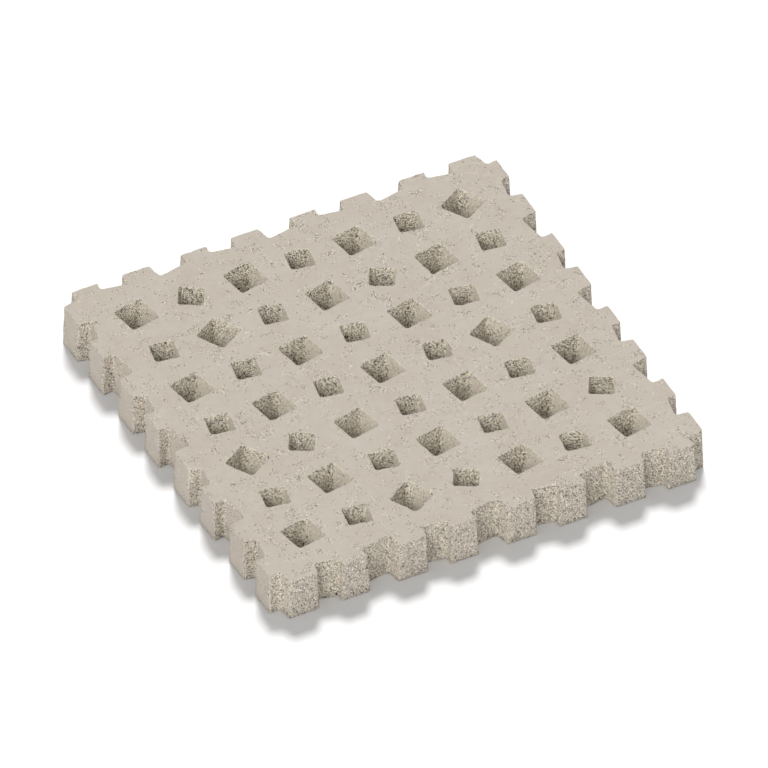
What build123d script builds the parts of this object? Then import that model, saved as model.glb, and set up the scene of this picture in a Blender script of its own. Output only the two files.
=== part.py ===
from build123d import *
import math
import os

# Concrete grass paving slab: one pressed block of concrete, square in plan, pierced by a
# chequerboard of large and small square holes that are each turned a little.
# Half holes along the four edges and quarter holes at the corners make whole holes with
# the neighbouring slabs. Millimetres. Origin: centre of the underside, +Z up, slab level.

# Slab
laying_module = 600.0           # from one laid slab to the next, centre to centre
joint_width = 1.0               # gap between two laid slabs, at their undersides
thickness = 60.0
holes_per_module = 8            # hole pitches in one laying module, each way

# Holes, measured at the top face and turned anticlockwise as seen from above
large_hole_side = 42.0
large_hole_turn = 10.0
large_hole_strong_turn = 30.0
small_hole_side = 33.0
small_hole_turn = -10.0
small_hole_strong_turn = -30.0
hole_corner_radius = 4.5

# Walls, which lean so that the mould and its cores lift off upwards
hole_draft = 2.0                # degrees; the holes narrow towards the underside
outer_draft = 1.2               # degrees; the outer faces spread towards the underside
tooth_corner_bevel = 1.0        # upright corners where a hole opens into an outer face

# Holes turned more than the rest, as (column, row) counted from the left and the front
strongly_turned_large = [(7, 7), (2, 6), (6, 4), (1, 3), (3, 1)]
strongly_turned_small = [(2, 7), (5, 6), (2, 3), (7, 2), (4, 1)]

# Worked out from the driving dimensions
pitch = laying_module / holes_per_module
underside_side = laying_module - joint_width
top_side = underside_side - 2 * thickness * math.tan(math.radians(outer_draft))
underside_plane = Plane.XY
top_plane = Plane.XY.offset(thickness)


def upright_edges(shape):
    """The edges that run from the underside to the top face."""
    return [edge for edge in shape.edges() if abs((edge @ 1).Z - (edge @ 0).Z) > thickness / 2]


def square_block(side, neutral_plane, lean):
    """A square block with leaning walls, which measures side at the neutral plane."""
    block = Box(side, side, thickness, align=(Align.CENTER, Align.CENTER, Align.MIN))
    walls = block.faces().filter_by(Axis.Z, reverse=True)
    return draft(walls, neutral_plane, lean)


def hole_shape(side):
    """What one hole takes away, at the origin, before it is turned and placed."""
    shape = square_block(side, top_plane, -hole_draft)
    return fillet(upright_edges(shape), hole_corner_radius)


def is_large(column, row):
    """Large and small holes alternate, with large ones at the corners of the slab."""
    return (column + row) % 2 == 0


def hole_turn(column, row):
    """The angle that the hole at this place in the grid is turned by."""
    if (column, row) in strongly_turned_large:
        return large_hole_strong_turn
    if (column, row) in strongly_turned_small:
        return small_hole_strong_turn
    return large_hole_turn if is_large(column, row) else small_hole_turn


def all_holes():
    """The whole grid, with half holes and quarter holes centred on the module's outline."""
    large_hole = hole_shape(large_hole_side)
    small_hole = hole_shape(small_hole_side)
    holes = []
    for column in range(holes_per_module + 1):
        for row in range(holes_per_module + 1):
            x = column * pitch - laying_module / 2
            y = row * pitch - laying_module / 2
            shape = large_hole if is_large(column, row) else small_hole
            holes.append(Pos(x, y, 0) * Rot(0, 0, hole_turn(column, row)) * shape)
    return holes


def tooth_corners(slab):
    """The upright edges where half holes and quarter holes open into the outer faces."""
    corners = []
    for edge in upright_edges(slab):
        middle = edge @ 0.5
        if max(abs(middle.X), abs(middle.Y)) > top_side / 2:
            corners.append(edge)
    return corners


def paving_slab():
    """The solid block less its holes, with bevelled tooth corners."""
    slab = square_block(underside_side, underside_plane, outer_draft) - all_holes()
    return chamfer(tooth_corners(slab), tooth_corner_bevel)


os.makedirs("parts", exist_ok=True)
export_step(paving_slab(), "parts/paving_slab.step")
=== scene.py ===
import math
import random

import bmesh
import bpy
import numpy as np
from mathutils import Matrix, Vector, kdtree, noise
from mathutils.geometry import delaunay_2d_cdt


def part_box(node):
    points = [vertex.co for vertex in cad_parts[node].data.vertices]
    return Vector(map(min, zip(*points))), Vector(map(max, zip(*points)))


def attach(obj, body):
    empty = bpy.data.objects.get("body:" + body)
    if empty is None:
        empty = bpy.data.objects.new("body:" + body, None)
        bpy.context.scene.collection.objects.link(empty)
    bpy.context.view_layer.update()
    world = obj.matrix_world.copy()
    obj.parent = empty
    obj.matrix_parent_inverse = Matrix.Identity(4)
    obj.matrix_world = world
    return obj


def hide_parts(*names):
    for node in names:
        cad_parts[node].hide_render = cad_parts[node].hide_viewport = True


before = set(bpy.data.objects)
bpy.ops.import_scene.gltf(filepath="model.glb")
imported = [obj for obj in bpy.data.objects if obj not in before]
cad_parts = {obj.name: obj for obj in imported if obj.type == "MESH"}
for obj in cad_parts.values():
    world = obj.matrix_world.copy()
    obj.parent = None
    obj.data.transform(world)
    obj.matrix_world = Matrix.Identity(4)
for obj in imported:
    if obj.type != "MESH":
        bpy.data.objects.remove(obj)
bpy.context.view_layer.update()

# Outlines of the slab.
# The slab is pressed from stiff concrete in a steel mould, whose cores make the holes.
# Its top and its underside have the same outlines, but for the mould's draft, which leaves
# a little more concrete at the underside. Each is read with the concrete on its left.
MM = 0.001
slab_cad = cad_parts["paving_slab"]
slab_low, slab_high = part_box("paving_slab")
thickness = slab_high.z - slab_low.z
same_place = 1e-6                # metres
sample_spacing = 2.3 * MM        # along the outlines, fine enough for a chipped arris
closest_samples = 0.75 * sample_spacing
sharp_turn = math.radians(25)    # a corner of a tooth, which is always a sample


def flat_outlines(height):
    """The closed outlines of the flat face at this height, in x and y, sorted by place."""
    shape = bmesh.new()
    shape.from_mesh(slab_cad.data)
    bmesh.ops.remove_doubles(shape, verts=shape.verts, dist=same_place)
    flat = {face for face in shape.faces
            if all(abs(vert.co.z - height) < same_place for vert in face.verts)}
    following = {}
    for face in shape.faces:     # and not the set, whose order differs from run to run
        if face in flat:
            for corner in face.loops:
                if sum(other in flat for other in corner.edge.link_faces) == 1:
                    following[corner.vert] = corner.link_loop_next.vert
    outlines = []
    while following:
        start, vert = following.popitem()
        outline = [start.co[:2]]
        while vert is not start:
            outline.append(vert.co[:2])
            vert = following.pop(vert)
        outlines.append(np.array(outline))
    shape.free()
    return sorted(outlines, key=lambda outline: tuple(outline.min(0).round(5)))


def below(top, undersides):
    """The underside outline of the same hole or edge, in step with the one at the top."""
    def unlike(outline):
        shift = np.abs(outline.min(0) + outline.max(0) - top.min(0) - top.max(0)).max()
        return shift + np.abs(np.ptp(outline, 0) - np.ptp(top, 0)).max()
    outline = min(undersides, key=unlike)[::-1]
    apart = [np.hypot(*(np.roll(outline, turn, 0) - top).T).sum() for turn in range(len(top))]
    return np.roll(outline, int(np.argmin(apart)), 0)


def sampled(top, underside):
    """Both outlines at an even spacing, with each sharp corner kept."""
    ahead = np.roll(top, -1, 0) - top
    behind = np.roll(ahead, 1, 0)
    turn = np.arctan2(behind[:, 0] * ahead[:, 1] - behind[:, 1] * ahead[:, 0],
                      (behind * ahead).sum(1))
    kept = [int(np.argmax(np.abs(turn)))]
    for step in range(1, len(top)):
        i = (kept[0] + step) % len(top)
        gap = np.hypot(*(top[i] - top[kept[-1]]))
        if abs(turn[i]) > sharp_turn or gap > closest_samples:
            kept.append(i)
    both = np.hstack([top, underside])
    samples = []
    for i, j in zip(kept, kept[1:] + kept[:1]):
        parts = max(1, round(float(np.hypot(*(top[j] - top[i]))) / sample_spacing))
        samples.extend(both[i] + (both[j] - both[i]) * part / parts for part in range(parts))
    samples = np.array(samples)
    return samples[:, :2], samples[:, 2:]


underside_outlines = flat_outlines(slab_low.z)
outline_pairs = [sampled(top, below(top, underside_outlines))
                 for top in flat_outlines(slab_high.z)]

# Walls of the slab and of its holes.
# The sandy mix leaves the mould a little uneven, loses grains along its arrises and chips
# where a core drags. All of it takes concrete away, so the slab keeps inside its size, but
# in the whole holes the stiff mix slumps back by a little as the cores leave it.
wall_levels = [57.5, 54, 49, 43, 36, 27, 17, 8]     # mm above the ground, closer near the top
wall_unevenness = 0.5 * MM
wall_lump = 9 * MM
lump_fade = 0.9                  # how fast the finer lumps lose their height
lump_ratio = 2.1                 # how much finer each octave of lumps is than the last
lump_octaves = 3
lump_contrast = 0.6
slump = 0.6 * MM
arris_wear = 0.7 * MM
arris_wear_spread = 0.4 * MM
arris_lump = 11 * MM
chip_depth = 2.4 * MM
chip_length = 6 * MM
chip_cluster = 9 * chip_length
chip_start = 0.28                # how high the noise has to be for a chip to start
chip_rise = 0.45                 # and how much higher for a whole one
chip_clustering = 0.35
chip_hollow = 1.5                # over 1, so that only the middle of a chip is deep
row_drop = 0.75                  # the share of a chip's depth that the rows below it sink by
tooth_corner_wear = 0.5 * MM
tooth_corner_lump = 12 * MM
tooth_corner_least = 0.3         # the share of that wear that every tooth corner has
tooth_corner_bareness = 0.8
foot_wear = 0.7 * MM
foot_lump = 13 * MM
foot_least = 0.6
arris_noise = 0.4                # metres up in the noise, so that each kind of wear differs
chip_noise = 0.05
cluster_noise = 0.4
foot_noise = 0.9
jut_spread = 0.3                 # how much of a corner's jut the samples beside it share
corner_softness = 10             # passes that blur a wall's direction round a corner
points = []
faces = []
worn = []                        # 0 on skin that touched the mould, 1 where it has broken off
sidelong = []                    # 1 on walls that look to the left or right, 0 to front or back


def lumps(x, y, z, size):
    """Uneven relief with lumps of this size, from 0 to 1."""
    value = noise.fractal(Vector((x, y, z)) / size, lump_fade, lump_ratio, lump_octaves)
    return min(1.0, max(0.0, 0.5 + lump_contrast * value))


def chipped(x, y):
    """How much of a chip is missing here: mostly none, seldom all of it."""
    value = noise.noise(Vector((x, y, chip_noise)) / chip_length)
    often = noise.noise(Vector((x, y, cluster_noise)) / chip_cluster)
    over = max(0.0, value + chip_clustering * often - chip_start)
    return min(1.0, over / chip_rise) ** chip_hollow


def into_concrete(outline):
    """The direction into the concrete at each sample, and how far the corner juts out."""
    ahead = np.roll(outline, -1, 0) - outline
    ahead /= np.hypot(*ahead.T)[:, None]
    behind = np.roll(ahead, 1, 0)
    along = ahead + behind
    along /= np.hypot(*along.T)[:, None]
    jut = np.clip(behind[:, 0] * ahead[:, 1] - behind[:, 1] * ahead[:, 0], 0, 1)
    jut = np.maximum(jut, jut_spread * (np.roll(jut, 1) + np.roll(jut, -1)))
    return np.stack([-along[:, 1], along[:, 0]], 1), jut


def build_wall(top, underside):
    """One wall from its arris to its foot; returns its first and last row and their wear."""
    into, jut = into_concrete(top)
    goes_round_the_slab = np.ptp(top, 0).max() > slab_high.x
    slumped = 0.0 if goes_round_the_slab else slump
    turned = np.abs(into[:, 0])
    for _ in range(corner_softness):
        turned = 0.5 * turned + 0.25 * (np.roll(turned, 1) + np.roll(turned, -1))
    wear = [arris_wear + arris_wear_spread * (2 * lumps(x, y, arris_noise, arris_lump) - 1)
            + chip_depth * chipped(x, y) for x, y in top]
    foot = [foot_wear * (foot_least + lumps(x, y, foot_noise, foot_lump)) for x, y in underside]
    rows = []
    for height in [None] + wall_levels + [0]:
        is_arris = height is None
        row = []
        for i in range(len(top)):
            if is_arris:
                z = top_surface(*top[i]) - wear[i]
            else:
                z = max(foot[i], height * MM - row_drop * max(0.0, wear[i] - arris_wear))
            x, y = underside[i] + (top[i] - underside[i]) * z / thickness
            depth = wall_unevenness * lumps(x, y, z, wall_lump) - slumped
            corner_loss = tooth_corner_least + lumps(x, y, z, tooth_corner_lump)
            depth += tooth_corner_wear * jut[i] * corner_loss
            row.append(len(points))
            points.append((x + into[i][0] * depth, y + into[i][1] * depth, z))
            worn.append(1.0 if is_arris else min(1.0, tooth_corner_bareness * jut[i]))
            sidelong.append(turned[i])
        rows.append(row)
    for upper, lower in zip(rows, rows[1:]):
        for i in range(len(top)):
            j = (i + 1) % len(top)
            faces.append((upper[i], lower[i], lower[j], upper[j]))
    return rows[0], wear, rows[-1], foot


# Top and underside.
# The struck top is a smooth skin of cement and fines that dips by a fraction of a
# millimetre; the underside stood on a board. Each is filled between its arrises.
top_dip = 0.3 * MM
top_dip_size = 45 * MM
top_noise = 0.0
top_spacing = 5 * MM             # between the spots that carry the relief
board_mark = 0.25 * MM
board_mark_size = 30 * MM
board_noise = 0.7
underside_spacing = 11 * MM
rim_parts = 4                    # points on each step of a rim, to measure how near it is
crowded = 0.9                    # a rim nearer than this share of a spot's inset crowds it
crowding_slack = 0.2 * MM
first_ring = 0.35                # of the spacing, from an arris to the skin's first ring
skin_margin = 0.75               # of the spacing, from an arris to the skin's other spots
skin_returns = 3                 # the power by which broken skin fades over an arris
skin_seed = 4
skin_jitter = (0.2, 0.8)         # where in its square of the grid a spot may lie
same_spot = 1e-5                 # millimetres
whole_hull = 0                   # the kind of filling that leaves no triangle out


def top_surface(x, y):
    return slab_high.z - top_dip * lumps(x, y, top_noise, top_dip_size)


def underside_surface(x, y):
    mark = max(0.0, 2 * lumps(x, y, board_noise, board_mark_size) - 1)
    return slab_low.z + board_mark * mark


def inside(spots, outline):
    """Whether each of many spots in plan lies inside a closed outline."""
    within = np.zeros(len(spots), bool)
    x, y = spots[:, 0], spots[:, 1]
    for (x0, y0), (x1, y1) in zip(outline, np.roll(outline, -1, 0)):
        if y0 != y1:
            within ^= ((y0 > y) != (y1 > y)) & (x < x0 + (x1 - x0) * (y - y0) / (y1 - y0))
    return within


def fill_face(rims, surface, side, spacing, angles):
    """One flat face: a rounded arris along each rim, then the uneven skin between them.

    The side is 1 for the top and -1 for the underside. Each angle is a ring of spots on the
    rounded arris, from 0 at the wall to a quarter turn at the skin, and None is one past it.
    """
    outlines = [np.array([points[i][:2] for i in rim]) for rim, _ in rims]
    edge = kdtree.KDTree(rim_parts * sum(len(outline) for outline in outlines))
    for outline in outlines:
        for here, following in zip(outline, np.roll(outline, -1, 0)):
            for part in range(rim_parts):
                edge.insert((*(here + (following - here) * part / rim_parts), 0), 0)
    edge.balance()
    used = [i for rim, _ in rims for i in rim]
    fixed = []
    first = 0
    for rim, _ in rims:
        fixed.extend((first + i, first + (i + 1) % len(rim)) for i in range(len(rim)))
        first += len(rim)

    def add_spot(x, y, z, broken, turned):
        used.append(len(points))
        points.append((x, y, z))
        worn.append(broken)
        sidelong.append(turned)

    for outline, (rim, wear) in zip(outlines, rims):
        into, _ = into_concrete(outline)
        for angle in angles:
            for (x, y), (dx, dy), size, i in zip(outline, into, wear, rim):
                if angle:
                    inset = size * (1 - math.cos(angle))
                    drop = size * (1 - math.sin(angle))
                    broken = 1.0 - math.sin(angle) ** skin_returns
                else:
                    inset = size + first_ring * spacing
                    drop = 0.0
                    broken = 0.0
                x, y = x + dx * inset, y + dy * inset
                if edge.find((x, y, 0))[2] > crowded * inset - crowding_slack:
                    add_spot(x, y, surface(x, y) - side * drop, broken, sidelong[i])
    seeded = random.Random(skin_seed)
    count = int(2 * slab_high.x / spacing)
    grid = np.array([[(column + seeded.uniform(*skin_jitter)) * spacing - slab_high.x,
                      (row + seeded.uniform(*skin_jitter)) * spacing - slab_high.x]
                     for column in range(count) for row in range(count)])
    solid = np.zeros(len(grid), bool)
    for outline in outlines:
        solid ^= inside(grid, outline)
    for x, y in grid[solid]:
        if edge.find((x, y, 0))[2] > arris_wear + skin_margin * spacing:
            add_spot(x, y, surface(x, y), 0.0, 0.0)
    plan = [Vector(points[i][:2]) / MM for i in used]
    made = delaunay_2d_cdt(plan, fixed, [], whole_hull, same_spot, True)
    corners = np.array([[used[made[3][i][0]] for i in face] for face in made[2]])
    middles = np.array(points)[:, :2][corners].mean(1)
    solid = np.zeros(len(middles), bool)
    for outline in outlines:
        solid ^= inside(middles, outline)
    faces.extend(tuple(face[::side]) for face in corners[solid].tolist())


walls = [build_wall(top, underside) for top, underside in outline_pairs]
quarter = math.pi / 2
fill_face([(row, wear) for row, wear, _, _ in walls], top_surface, 1, top_spacing,
          [quarter / 3, quarter * 2 / 3, quarter, None])
fill_face([(row, foot) for _, _, row, foot in walls], underside_surface, -1,
          underside_spacing, [quarter / 2, quarter])

# The slab in one piece.
# The mould's sides and its cores drag on the mix each in their own way, so how much sand a wall
# bares goes by its place. Walls that look to the left or right bare less of it than those that look
# to the front or back, so they carry less of the voids' painted shade, as if raking light fell only
# on the latter. The walls of the holes are also painted paler, as painted light in them.
outer_skin = 4 * MM              # how near the slab's sides a wall counts as an outer face
half_hole_reach = 32 * MM
# Each finish holds the sand bared where a wall looks to the front or back, the sand bared where it
# looks to the left or right, and how much painted light pales it; the walls of the whole holes get
# the most of that painted light
hole_light_paint = 0.56
outer_face = (0.66, 0.14, 0.0)
half_hole_at_end = (0.80, 0.55, 0.14)
half_hole_at_side = (0.76, 0.18, 0.0)
whole_hole = (1.18, 0.30, hole_light_paint)
finishes = []
for x, y, _ in points:
    from_side = slab_high.x - abs(x)
    from_end = slab_high.y - abs(y)
    if min(from_side, from_end) < outer_skin:
        finishes.append(outer_face)
    elif from_end < half_hole_reach:
        finishes.append(half_hole_at_end)
    elif from_side < half_hole_reach:
        finishes.append(half_hole_at_side)
    else:
        finishes.append(whole_hole)
end_sand, side_sand, painted_light = zip(*finishes)

slab_mesh = bpy.data.meshes.new("pressed_slab")
slab_mesh.from_pydata(points, [], faces)
slab_mesh.shade_smooth()
for name, values in (("worn", worn), ("sidelong", sidelong), ("end_sand", end_sand),
                     ("side_sand", side_sand), ("painted_light", painted_light)):
    slab_mesh.attributes.new(name, "FLOAT", "POINT").data.foreach_set("value", values)
slab = bpy.data.objects.new("pressed_slab", slab_mesh)
bpy.context.scene.collection.objects.link(slab)
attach(slab, "root")
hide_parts("paving_slab")


# Concrete.
# A pale, slightly warm mix of cement and washed sand. The skin on the top is smooth and
# faintly clouded, with few pits. The walls that a core dragged along show their sand.
def linear(code):
    """A colour written as sRGB hex, as the linear values that a shader takes."""
    values = [int(code[i:i + 2], 16) / 255 for i in (1, 3, 5)]
    return [v / 12.92 if v < 0.04045 else ((v + 0.055) / 1.055) ** 2.4 for v in values] + [1]


def add(tree, kind, sockets=None, **settings):
    """Adds a node with its settings, and with each socket set or linked.

    A socket goes by its number where several have its name. In maths these are the terms in
    order. In a range, 1 and 2 are the ends that go in and 3 and 4 the ends that come out. In
    a mix, 0 is the second one's share, and the two are 2 and 3 for numbers, 6 and 7 for
    colours.
    """
    node = tree.nodes.new(kind)
    for name, value in settings.items():
        setattr(node, name, value)
    for name, value in (sockets or {}).items():
        if isinstance(value, bpy.types.NodeSocket):
            tree.links.new(value, node.inputs[name])
        else:
            node.inputs[name].default_value = value
    return node


cement_pale = linear("#CEC5BA")
cement_dull = linear("#C2B7AA")
sand_dull = linear("#B5A896")
sand_pale = linear("#F6EDDB")
# painted shade: the near black of the voids stands in for the shade inside them
painted_void_shade = linear("#2B2218")
# painted shade: the darker grey of the pits stands in for the shade inside them
painted_pit_shade = linear("#5E5549")
cloud_size = 60 * MM
mottle_size = 11 * MM
patch_size = 16 * MM             # patches where the skin is thin and more sand shows
grain_size = 0.9 * MM            # coarse sand, with the grains all of about one size
bends_per_grain = 0.6
grain_bend = 1.6 * grain_size
grain_rim = 0.07                 # how soft the rim of a grain is, as a share of the grain
pit_spacing = 5 * MM
pit_rarity = 0.45                # the share of places that have no pit
widest_pit = 0.2                 # its radius as a share of the spacing
pit_rim = 0.03
broken_sand = 0.6                # how sandy a broken arris is
void_share = 0.33                # of the sand that a face bares, what has fallen out
outer_pale_share = 0.48          # and what shows pale, on the outer faces
hole_pale_share = 0.74
level_pale_share = 0.43
dull_share = 0.45
sideways_light_paint = 0.64             # walls that look to the left or right get less of the painted light
fine_tooth_size = 0.9 * MM       # the cement's own tooth is finer and would not show
fine_tooth = 0.35
grain_foot = 0.8                 # how far from a grain's middle its roundness ends
sunken = -1.3                    # voids and pits, against a grain's height of 1
relief_height = 0.5 * MM
relief_strength = 0.6
skin_roughness = 0.86
sand_roughness = 0.97
dry_gloss = 0.25                 # dry, porous cement hardly shines

concrete = bpy.data.materials.new("pressed concrete")
concrete.use_nodes = True
tree = concrete.node_tree
tree.nodes.clear()

# Where the surface is: level or upright, which way a wall looks, and how its skin came out
sloping, flat_enough = 0.75, 0.97            # how far up or down a face looks
hardly_sideways, fully_sideways = 0.05, 0.5
place = add(tree, "ShaderNodeTexCoord")
spot = place.outputs["Object"]
facing = add(tree, "ShaderNodeSeparateXYZ", {0: place.outputs["Normal"]})
level = add(tree, "ShaderNodeMath", {0: facing.outputs["Z"]}, operation="ABSOLUTE").outputs[0]
level = add(tree, "ShaderNodeMapRange", {"Value": level, 1: sloping, 2: flat_enough},
            interpolation_type="SMOOTHSTEP").outputs[0]
patches = add(tree, "ShaderNodeTexNoise", {"Vector": spot, "Scale": 1 / patch_size,
                                           "Detail": 2}).outputs[0]
broken, sideways, on_end, on_side, light_paint = (
    add(tree, "ShaderNodeAttribute", attribute_name=name).outputs["Fac"]
    for name in ("worn", "sidelong", "end_sand", "side_sand", "painted_light"))
sideways = add(tree, "ShaderNodeMath", {0: sideways, 1: patches}, operation="SUBTRACT").outputs[0]
sideways = add(tree, "ShaderNodeMapRange", {"Value": sideways, 1: hardly_sideways,
                                            2: fully_sideways},
               interpolation_type="SMOOTHSTEP").outputs[0]

# Cement: faint clouds of a few centimetres, with a finer mottle in them
dullest, palest = 0.6, 1.4                   # of the two patterns' sum, which is about 1
clouds = add(tree, "ShaderNodeTexNoise", {"Vector": spot, "Scale": 1 / cloud_size,
                                          "Detail": 3, "Roughness": 0.55}).outputs[0]
mottle = add(tree, "ShaderNodeTexNoise", {"Vector": spot, "Scale": 1 / mottle_size,
                                          "Detail": 4, "Roughness": 0.6}).outputs[0]
tone = add(tree, "ShaderNodeMath", {0: clouds, 1: mottle}, operation="ADD").outputs[0]
tone = add(tree, "ShaderNodeMapRange", {"Value": tone, 1: dullest, 2: palest}).outputs[0]
colour = add(tree, "ShaderNodeMix", {0: tone, 6: cement_dull, 7: cement_pale},
             data_type="RGBA").outputs[2]

# Sand: each bent cell is one grain; where the face bares its sand, some show pale and some
# have fallen out and left a void, painted near black as the shade inside it. The rank of a cell
# also sets how much of it shows.
thick_skin, thin_skin = 0.42, 0.72           # on the top, in the pattern of patches
least_sand, most_sand = 0.05, 0.45
dense_wall, open_wall = 0.35, 0.6            # on the walls, in the same pattern
less_sand, more_sand = 0.86, 1.04
bend = add(tree, "ShaderNodeTexNoise", {"Vector": spot, "Scale": bends_per_grain / grain_size,
                                        "Detail": 1}).outputs[1]
bend = add(tree, "ShaderNodeVectorMath", {0: bend, 1: (0.5, 0.5, 0.5)},
           operation="SUBTRACT").outputs[0]
bent = add(tree, "ShaderNodeVectorMath", {0: bend, 1: (grain_bend,) * 3, 2: spot},
           operation="MULTIPLY_ADD").outputs[0]
sand = add(tree, "ShaderNodeTexVoronoi", {"Vector": bent, "Scale": 1 / grain_size})
ranks = add(tree, "ShaderNodeSeparateColor", {0: sand.outputs["Color"]})
on_top = add(tree, "ShaderNodeMapRange", {"Value": patches, 1: thick_skin, 2: thin_skin,
                                          3: least_sand, 4: most_sand}).outputs[0]
patchy = add(tree, "ShaderNodeMapRange", {"Value": patches, 1: dense_wall, 2: open_wall,
                                          3: less_sand, 4: more_sand}).outputs[0]
on_wall = add(tree, "ShaderNodeMix", {0: sideways, 2: on_end, 3: on_side}).outputs[0]
on_wall = add(tree, "ShaderNodeMath", {0: on_wall, 1: patchy}, operation="MULTIPLY").outputs[0]
sandy = add(tree, "ShaderNodeMix", {0: level, 2: on_wall, 3: on_top}).outputs[0]
bared = add(tree, "ShaderNodeMath", {0: broken, 1: broken_sand}, operation="MULTIPLY").outputs[0]
sandy = add(tree, "ShaderNodeMath", {0: sandy, 1: bared}, operation="MAXIMUM").outputs[0]

# Painted light in the holes: their walls are painted paler, and more of their sand pale, than the
# outer faces; walls that look to the left or right get less of this paling
pale_share = add(tree, "ShaderNodeMapRange", {"Value": light_paint, 1: 0.0, 2: hole_light_paint,
                                              3: outer_pale_share, 4: hole_pale_share}).outputs[0]
pale_share = add(tree, "ShaderNodeMix", {0: level, 2: pale_share, 3: level_pale_share}).outputs[0]
light_paint = add(tree, "ShaderNodeMix", {0: level, 2: light_paint, 3: 0.0}).outputs[0]
less = add(tree, "ShaderNodeMapRange", {"Value": sideways, 3: 1.0, 4: sideways_light_paint}).outputs[0]
light_paint = add(tree, "ShaderNodeMath", {0: light_paint, 1: less}, operation="MULTIPLY").outputs[0]
colour = add(tree, "ShaderNodeMix", {0: light_paint, 6: colour, 7: sand_pale},
             data_type="RGBA").outputs[2]
dull = add(tree, "ShaderNodeMath", {0: ranks.outputs[1], 1: sandy}, operation="MULTIPLY").outputs[0]
dull = add(tree, "ShaderNodeMath", {0: dull, 1: dull_share}, operation="MULTIPLY").outputs[0]
colour = add(tree, "ShaderNodeMix", {0: dull, 6: colour, 7: sand_dull},
             data_type="RGBA").outputs[2]
fully_bared = 0.08                           # how far under its limit a rank shows a whole grain
hidden_grain, whole_grain = -0.1, 0.95
shown = {}
for name, share, rank, tint in (("pale", pale_share, ranks.outputs[2], sand_pale),
                                ("void", void_share, ranks.outputs[0], painted_void_shade)):
    limit = add(tree, "ShaderNodeMath", {0: sandy, 1: share}, operation="MULTIPLY").outputs[0]
    reach = add(tree, "ShaderNodeMath", {0: limit, 1: rank}, operation="SUBTRACT").outputs[0]
    reach = add(tree, "ShaderNodeMapRange", {"Value": reach, 1: 0.0, 2: fully_bared,
                                             3: hidden_grain, 4: whole_grain}).outputs[0]
    part = add(tree, "ShaderNodeMath", {0: reach, 1: sand.outputs["Distance"]},
               operation="SUBTRACT").outputs[0]
    shown[name] = add(tree, "ShaderNodeMapRange", {"Value": part, 1: 0.0, 2: grain_rim},
                      interpolation_type="SMOOTHSTEP").outputs[0]
    colour = add(tree, "ShaderNodeMix", {0: shown[name], 6: colour, 7: tint},
                 data_type="RGBA").outputs[2]

# Small pits where air was trapped under the skin, painted darker as the shade inside them; the
# relief sinks them too
bubbles = add(tree, "ShaderNodeTexVoronoi", {"Vector": spot, "Scale": 1 / pit_spacing})
rank = add(tree, "ShaderNodeSeparateColor", {0: bubbles.outputs["Color"]}).outputs[1]
reach = add(tree, "ShaderNodeMapRange", {"Value": rank, 1: pit_rarity, 2: 1.0,
                                         3: 0.0, 4: widest_pit}).outputs[0]
pit = add(tree, "ShaderNodeMath", {0: reach, 1: bubbles.outputs["Distance"]},
          operation="SUBTRACT").outputs[0]
pit = add(tree, "ShaderNodeMapRange", {"Value": pit, 1: 0.0, 2: pit_rim}).outputs[0]
colour = add(tree, "ShaderNodeMix", {0: pit, 6: colour, 7: painted_pit_shade},
             data_type="RGBA").outputs[2]

# Relief: rounded grains, sunken voids and pits, and a fine tooth all over
tooth = add(tree, "ShaderNodeTexNoise", {"Vector": spot, "Scale": 1 / fine_tooth_size,
                                         "Detail": 2}).outputs[0]
round_grain = add(tree, "ShaderNodeMapRange", {"Value": sand.outputs["Distance"],
                                               1: 0.0, 2: grain_foot, 3: 1.0, 4: 0.0},
                  interpolation_type="SMOOTHSTEP").outputs[0]
round_grain = add(tree, "ShaderNodeMath", {0: round_grain, 1: sandy},
                  operation="MULTIPLY").outputs[0]
height = add(tree, "ShaderNodeMath", {0: tooth, 1: fine_tooth, 2: round_grain},
             operation="MULTIPLY_ADD").outputs[0]
for hollow in (shown["void"], pit):
    height = add(tree, "ShaderNodeMath", {0: hollow, 1: sunken, 2: height},
                 operation="MULTIPLY_ADD").outputs[0]
relief = add(tree, "ShaderNodeBump", {"Height": height, "Distance": relief_height,
                                      "Strength": relief_strength})
dry = add(tree, "ShaderNodeMapRange", {"Value": sandy, 3: skin_roughness,
                                       4: sand_roughness}).outputs[0]
surface = add(tree, "ShaderNodeBsdfPrincipled", {"Base Color": colour, "Roughness": dry,
                                                 "Specular IOR Level": dry_gloss,
                                                 "Normal": relief.outputs[0]})
add(tree, "ShaderNodeOutputMaterial", {"Surface": surface.outputs[0]})
slab_mesh.materials.append(concrete)

# Studio.
# White paper under the slab, white all round, and an even glow. A main lamp from the left
# and front and two weak ones, from the front and from low behind, light the slab alone; a
# lamp high behind lights the paper alone and casts the slab's soft shadow on it.
paper_reach = 6                  # metres from the middle
paper_gap = 0.05 * MM            # so that the paper and the underside do not touch
paper_thrown_back = linear("#BFBFBF")
paper_seen = linear("#E3E3E3")
paper_glow = 0.145               # for the camera alone, so that the lit paper reaches white
sky_level = 0.39
backdrop_level = 1.0
white = (1, 1, 1, 1)

floor_mesh = bpy.data.meshes.new("studio_floor")
floor_mesh.from_pydata([(-paper_reach, -paper_reach, 0), (paper_reach, -paper_reach, 0),
                        (paper_reach, paper_reach, 0), (-paper_reach, paper_reach, 0)],
                       [], [(0, 1, 2, 3)])
floor = bpy.data.objects.new("studio_floor", floor_mesh)
bpy.context.scene.collection.objects.link(floor)
floor.location.z = slab_low.z - paper_gap

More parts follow.
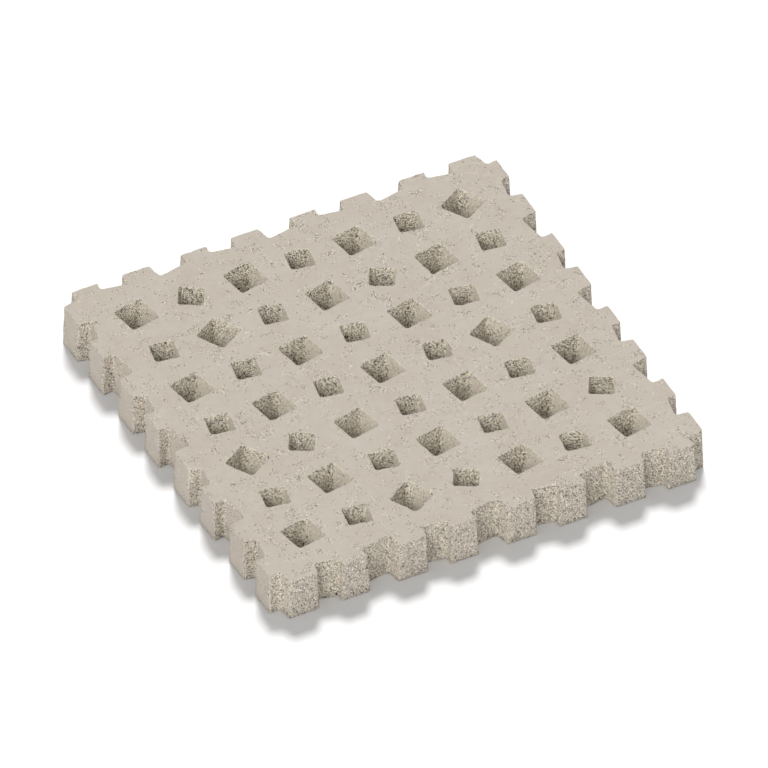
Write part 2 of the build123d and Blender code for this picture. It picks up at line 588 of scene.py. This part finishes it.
paper = bpy.data.materials.new("white studio paper")
paper.use_nodes = True
tree = paper.node_tree
tree.nodes.clear()
seen = add(tree, "ShaderNodeLightPath").outputs["Is Camera Ray"]
tint = add(tree, "ShaderNodeMix", {0: seen, 6: paper_thrown_back, 7: paper_seen},
           data_type="RGBA").outputs[2]
matt = add(tree, "ShaderNodeBsdfDiffuse", {"Color": tint})
lift = add(tree, "ShaderNodeMath", {0: seen, 1: paper_glow}, operation="MULTIPLY").outputs[0]
glow = add(tree, "ShaderNodeEmission", {"Color": white, "Strength": lift})
both = add(tree, "ShaderNodeAddShader", {0: matt.outputs[0], 1: glow.outputs[0]})
add(tree, "ShaderNodeOutputMaterial", {"Surface": both.outputs[0]})
floor_mesh.materials.append(paper)

world = bpy.data.worlds.new("studio_sky")
world.use_nodes = True
bpy.context.scene.world = world
tree = world.node_tree
tree.nodes.clear()
ray = add(tree, "ShaderNodeLightPath")
direct = add(tree, "ShaderNodeMath", {0: ray.outputs["Is Camera Ray"],
                                      1: ray.outputs["Is Glossy Ray"]}, operation="MAXIMUM")
direct = add(tree, "ShaderNodeMath", {0: direct.outputs[0],
                                      1: ray.outputs["Is Transmission Ray"]}, operation="MAXIMUM")
sky = add(tree, "ShaderNodeBackground", {"Color": white, "Strength": sky_level})
backdrop = add(tree, "ShaderNodeBackground", {"Color": white, "Strength": backdrop_level})
mixed = add(tree, "ShaderNodeMixShader", {0: direct.outputs[0], 1: sky.outputs[0],
                                          2: backdrop.outputs[0]})
add(tree, "ShaderNodeOutputWorld", {"Surface": mixed.outputs[0]})

slab_alone = bpy.data.collections.new("lit_slab")
slab_alone.objects.link(slab)
paper_alone = bpy.data.collections.new("lit_paper")
paper_alone.objects.link(floor)


def add_lamp(name, bearing, height, level, breadth, lights):
    """A far lamp, whose level is the brightness that it gives a white surface facing it.

    The bearing is where it shines from, in degrees anticlockwise from the slab's right, and
    its height and breadth are in degrees too.
    """
    lamp = bpy.data.objects.new(name, bpy.data.lights.new(name, "SUN"))
    bpy.context.scene.collection.objects.link(lamp)
    turn, rise = math.radians(bearing), math.radians(height)
    towards = Vector((math.cos(turn) * math.cos(rise), math.sin(turn) * math.cos(rise),
                      math.sin(rise)))
    lamp.rotation_euler = towards.to_track_quat("Z", "Y").to_euler()
    lamp.data.energy = math.pi * level
    lamp.data.angle = math.radians(breadth)
    lamp.light_linking.receiver_collection = lights


add_lamp("left_lamp", 218, 45, 0.605, 30, slab_alone)
add_lamp("front_lamp", 270, 30, 0.15, 30, slab_alone)
add_lamp("rear_lamp", 65, 15, 0.35, 30, slab_alone)
add_lamp("paper_lamp", 66, 54.3, 1.04, 15, paper_alone)

# Camera.
# A parallel projection from above the slab's front left corner, as in the photograph. The
# place in the picture where the middle of the top is seen sets its aim.
view_azimuth = math.radians(27)
view_elevation = math.radians(41.99)
hole_pitch = 0.075
pitch_in_pixels = 61.06
pixel = hole_pitch / pitch_in_pixels
frame_pixels = 768
top_centre_seen_at = (383.15, 367.95)
camera_distance = 3
sight_range = 20
look = Vector((math.sin(view_azimuth) * math.cos(view_elevation),
               math.cos(view_azimuth) * math.cos(view_elevation), -math.sin(view_elevation)))
across = Vector((math.cos(view_azimuth), -math.sin(view_azimuth), 0))
aim = Vector((0, 0, slab_high.z))
aim -= across * (top_centre_seen_at[0] - frame_pixels / 2) * pixel
aim += across.cross(look) * (top_centre_seen_at[1] - frame_pixels / 2) * pixel
camera = bpy.data.objects.new("camera", bpy.data.cameras.new("camera"))
bpy.context.scene.collection.objects.link(camera)
camera.data.type = "ORTHO"
camera.data.ortho_scale = frame_pixels * pixel
camera.data.clip_end = sight_range
camera.location = aim - look * camera_distance
camera.rotation_euler = look.to_track_quat("-Z", "Y").to_euler()
bpy.context.scene.camera = camera
bpy.context.scene.view_settings.view_transform = "Standard"
